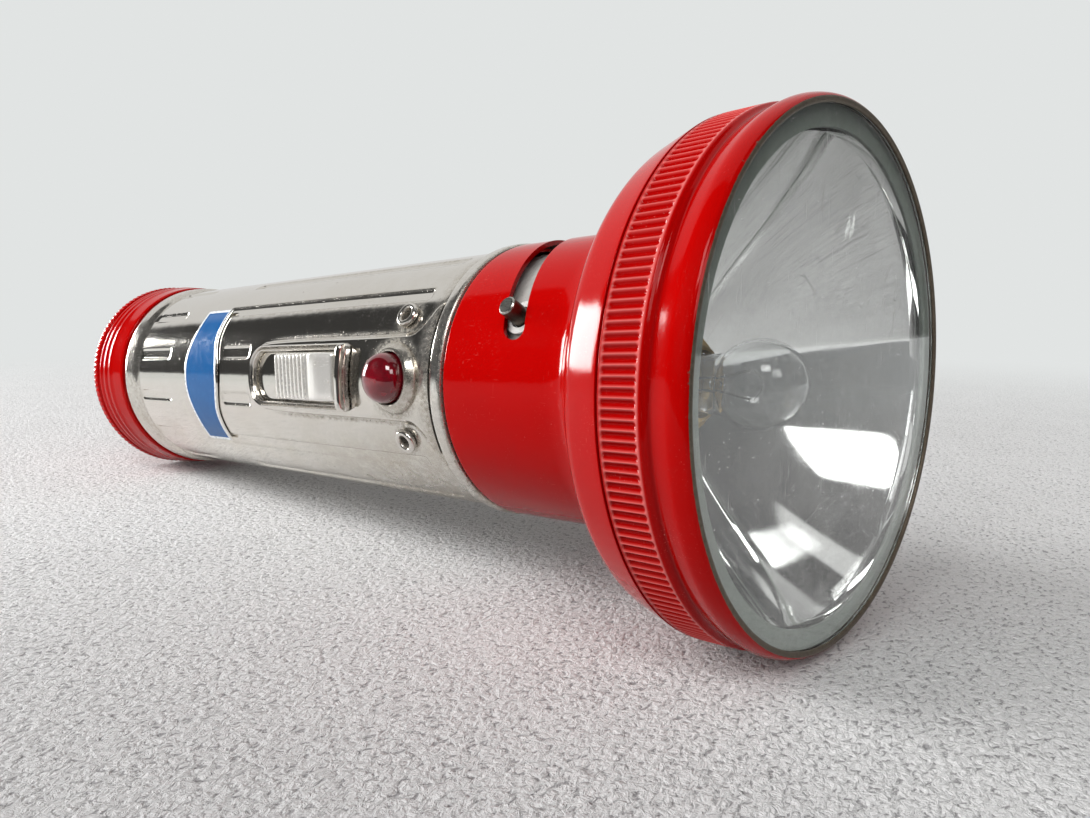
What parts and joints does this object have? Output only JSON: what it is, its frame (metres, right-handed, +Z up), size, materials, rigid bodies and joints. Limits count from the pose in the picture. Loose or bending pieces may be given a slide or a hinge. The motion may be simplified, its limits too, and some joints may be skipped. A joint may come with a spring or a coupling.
{
  "type": "focusing hand torch",
  "caption": "Old plated hand torch lying down, red flared head and tail cap, slide switch, ruby signal button, turning focus stud in a helical slot, bulb and reflector.",
  "frame": {"origin": "middle of the footprint on the surface it lies on, under the rims of head and tail cap", "axes": "+X towards the lens, +Z up, switch and button on the -Y side; the torch's own axis rises 3.65 degrees towards the head"},
  "size_m": [0.1626, 0.0616, 0.0619],
  "materials": {
    "chrome": "nickel plate on steel, worn, with rust specks",
    "red_paint": "glossy red stove enamel, worn to metal on the lip",
    "blue_badge": "plain blue enamel with a light border",
    "ruby": "clear dark red plastic",
    "brass": "dull brass",
    "steel": "dull plated steel",
    "glass": "flat lens glass with scratches and dust",
    "bulb_glass": "clear blown glass",
    "reflector": "silvered bowl",
    "fibre": "pressed fibre board",
    "gasket": "grey-green sealing ring",
    "card": "wound card tube",
    "cell_jacket": null,
    "wire": "thin nickel wire"
  },
  "bodies": {
    "barrel_body": {"barrel": "chrome", "name_badge": "blue_badge", "tail_ferrule": "steel", "cell_liner": "card", "switch_frame": "chrome", "contact_strip": "brass", "button_ring": "chrome", "inner_bracket": "brass", "rivet_upper": "chrome", "rivet_lower": "chrome", "front_collar": "chrome", "head_shell": "red_paint", "reflector": "reflector", "lens_gasket": "gasket"},
    "switch": {"switch_slide": "chrome", "switch_wiper": "brass"},
    "signal_key": {"signal_button": "ruby", "signal_contact": "brass"},
    "cells": {"cell_rear": "cell_jacket", "cell_rear_terminal": "brass", "cell_front": "cell_jacket", "cell_front_terminal": "brass"},
    "lamp_carrier": {"lamp_sleeve": "steel", "focus_stud": "steel", "stud_washer": "steel", "carrier_disc": "fibre", "lamp_socket": "brass", "bulb_tip": "brass", "bulb_insulator": "fibre", "bulb_base": "brass", "bulb_glass": "bulb_glass", "filament_support_upper": "wire", "filament_support_lower": "wire", "bulb_bead": "bulb_glass", "bulb_filament": "wire"},
    "cap_spring": {"tail_spring": "steel"},
    "cap": {"tail_cap": "red_paint"},
    "lens": {"lens_glass": "glass"},
    "bezel": {"bezel_ring": "red_paint"}
  },
  "joints": [
    {"name": "switch_travel", "type": "slide", "parent": "barrel_body", "child": "switch", "axis": [-0.998, 0, -0.0637], "range_m": [0, 0.0058]},
    {"name": "button_press", "type": "slide", "parent": "barrel_body", "child": "signal_key", "axis": [0.0053, 0.9965, -0.0835], "range_m": [0, 0.001], "stiffness_N_per_m": 600, "springref_m": -0.002},
    {"name": "focus_travel", "type": "slide", "parent": "barrel_body", "child": "cells", "axis": [-0.998, 0, -0.0637], "range_m": [-0.00037, 0.00478], "deforming": ["tail_spring"]},
    {"name": "focus_turn", "type": "hinge", "parent": "cells", "child": "lamp_carrier", "pos_m": [0.04423, 0, 0.02908], "axis": [-0.998, 0, -0.0637], "range_deg": [-5, 64]},
    {"name": "cap_travel", "type": "slide", "parent": "barrel_body", "child": "cap_spring", "axis": [-0.998, 0, -0.0637], "range_m": [0, 0.0045]},
    {"name": "cap_turn", "type": "hinge", "parent": "cap_spring", "child": "cap", "pos_m": [-0.07552, 0, 0.02143], "axis": [-0.998, 0, -0.0637], "range_deg": [0, 540]},
    {"name": "bezel_travel", "type": "slide", "parent": "barrel_body", "child": "lens", "axis": [0.998, 0, 0.0637], "range_m": [0, 0.00375]},
    {"name": "bezel_turn", "type": "hinge", "parent": "lens", "child": "bezel", "pos_m": [0.07417, 0, 0.03099], "axis": [0.998, 0, 0.0637], "range_deg": [0, 540]}
  ],
  "couplings": [
    {"joint": "focus_turn", "follows": "focus_travel", "rad_per_m": 233.65},
    {"joint": "cap_turn", "follows": "cap_travel", "rad_per_m": 2094.4},
    {"joint": "bezel_turn", "follows": "bezel_travel", "rad_per_m": 2513.3}
  ]
}
